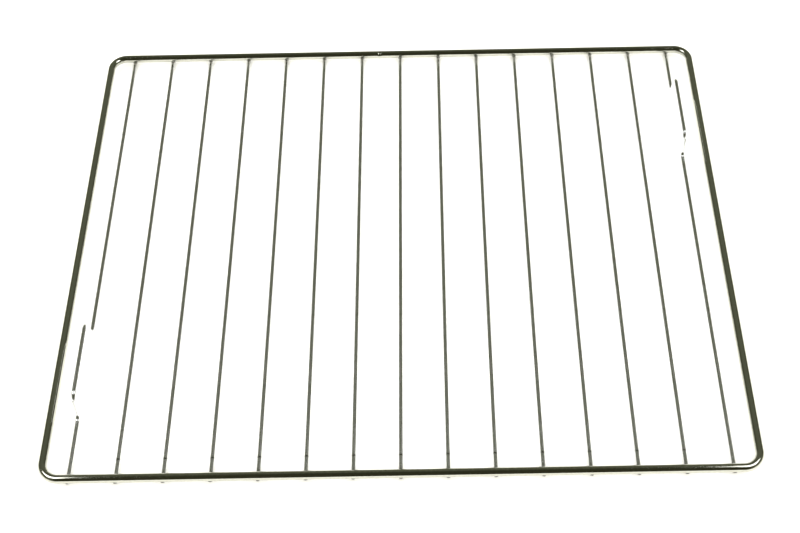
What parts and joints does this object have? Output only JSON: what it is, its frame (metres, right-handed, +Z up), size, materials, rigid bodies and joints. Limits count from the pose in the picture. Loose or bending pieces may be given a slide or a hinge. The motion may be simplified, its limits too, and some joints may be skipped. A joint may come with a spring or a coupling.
{
  "type": "oven shelf rack",
  "caption": "Flat wire shelf for an oven: round bars welded under a rounded rectangular frame wire, with a raised stop in each outer bar.",
  "frame": {"origin": "middle of the plane that the rack lies on, under the bars", "axes": "+X across the oven along the long side, +Y from the door to the rear wall, +Z up"},
  "size_m": [0.444, 0.365, 0.021],
  "materials": {
    "frame_plating": "bright plated",
    "bar_plating": "bright plated"
  },
  "bodies": {
    "root": {"frame_wire": "frame_plating", "stop_bar_left": "bar_plating", "stop_bar_right": "bar_plating", "cross_bar_01": "bar_plating", "cross_bar_02": "bar_plating", "cross_bar_03": "bar_plating", "cross_bar_04": "bar_plating", "cross_bar_05": "bar_plating", "cross_bar_06": "bar_plating", "cross_bar_07": "bar_plating", "cross_bar_08": "bar_plating", "cross_bar_09": "bar_plating", "cross_bar_10": "bar_plating", "cross_bar_11": "bar_plating", "cross_bar_12": "bar_plating", "cross_bar_13": "bar_plating"}
  },
  "joints": []
}
